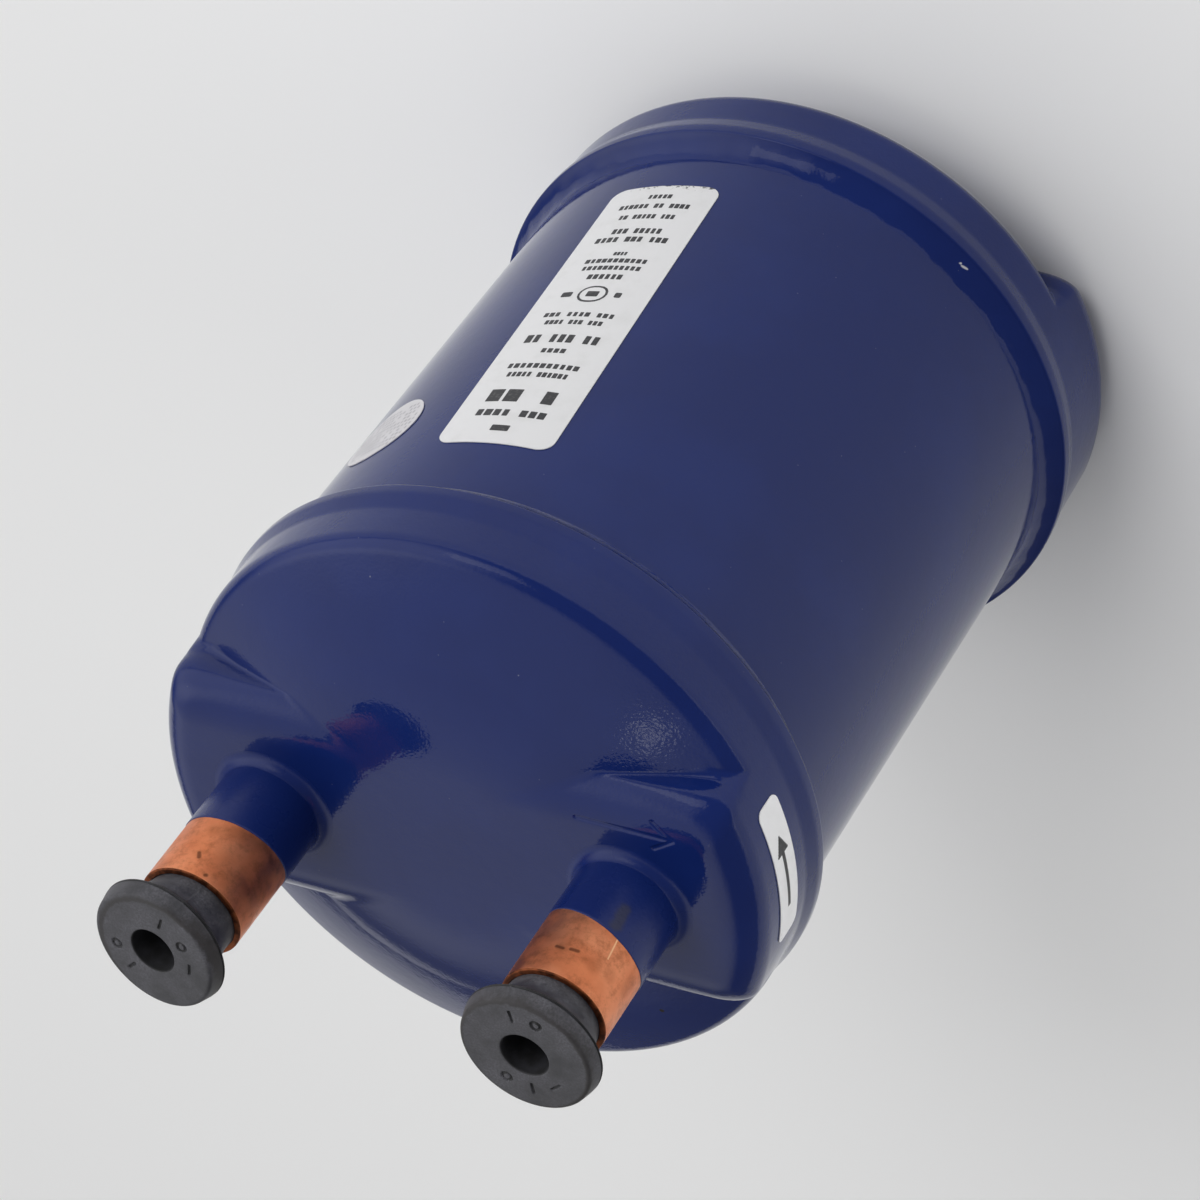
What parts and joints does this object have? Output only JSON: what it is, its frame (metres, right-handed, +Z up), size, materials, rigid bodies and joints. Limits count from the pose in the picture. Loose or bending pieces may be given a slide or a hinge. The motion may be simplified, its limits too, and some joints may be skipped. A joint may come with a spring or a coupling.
{
  "type": "suction line accumulator",
  "caption": "Upright welded steel vessel with lobed pressed caps, plugged copper sweat connections on top and a bent oil return tube inside, for a refrigeration suction line.",
  "frame": {"origin": "centre of the lower cap's raised face, where the vessel stands", "axes": "+Z up along the vessel's axis to the connections, +X towards the inlet, -X towards the outlet"},
  "size_m": [0.1082, 0.1082, 0.1859],
  "materials": {
    "enamel": "gloss, slight orange peel",
    "copper": "drawn copper, dull and stained",
    "plug_rubber": "matt, dusty",
    "inner_steel": "bare",
    "filler": "bare",
    "label": "satin"
  },
  "bodies": {
    "root": {"shell": "enamel", "top_cap": "enamel", "bottom_cap": "enamel", "top_weld": "enamel", "bottom_weld": "enamel", "inlet_stub": "copper", "outlet_stub": "copper", "inlet_braze": "enamel", "outlet_braze": "enamel", "inlet_plug": "plug_rubber", "outlet_plug": "plug_rubber", "return_tube": "inner_steel", "tube_braze": "filler", "tube_brace": "inner_steel", "oil_orifice": "filler", "oil_screen": "inner_steel", "inlet_deflector": "inner_steel", "rating_label": "label", "round_sticker": "label", "inlet_label": "label"}
  },
  "joints": []
}
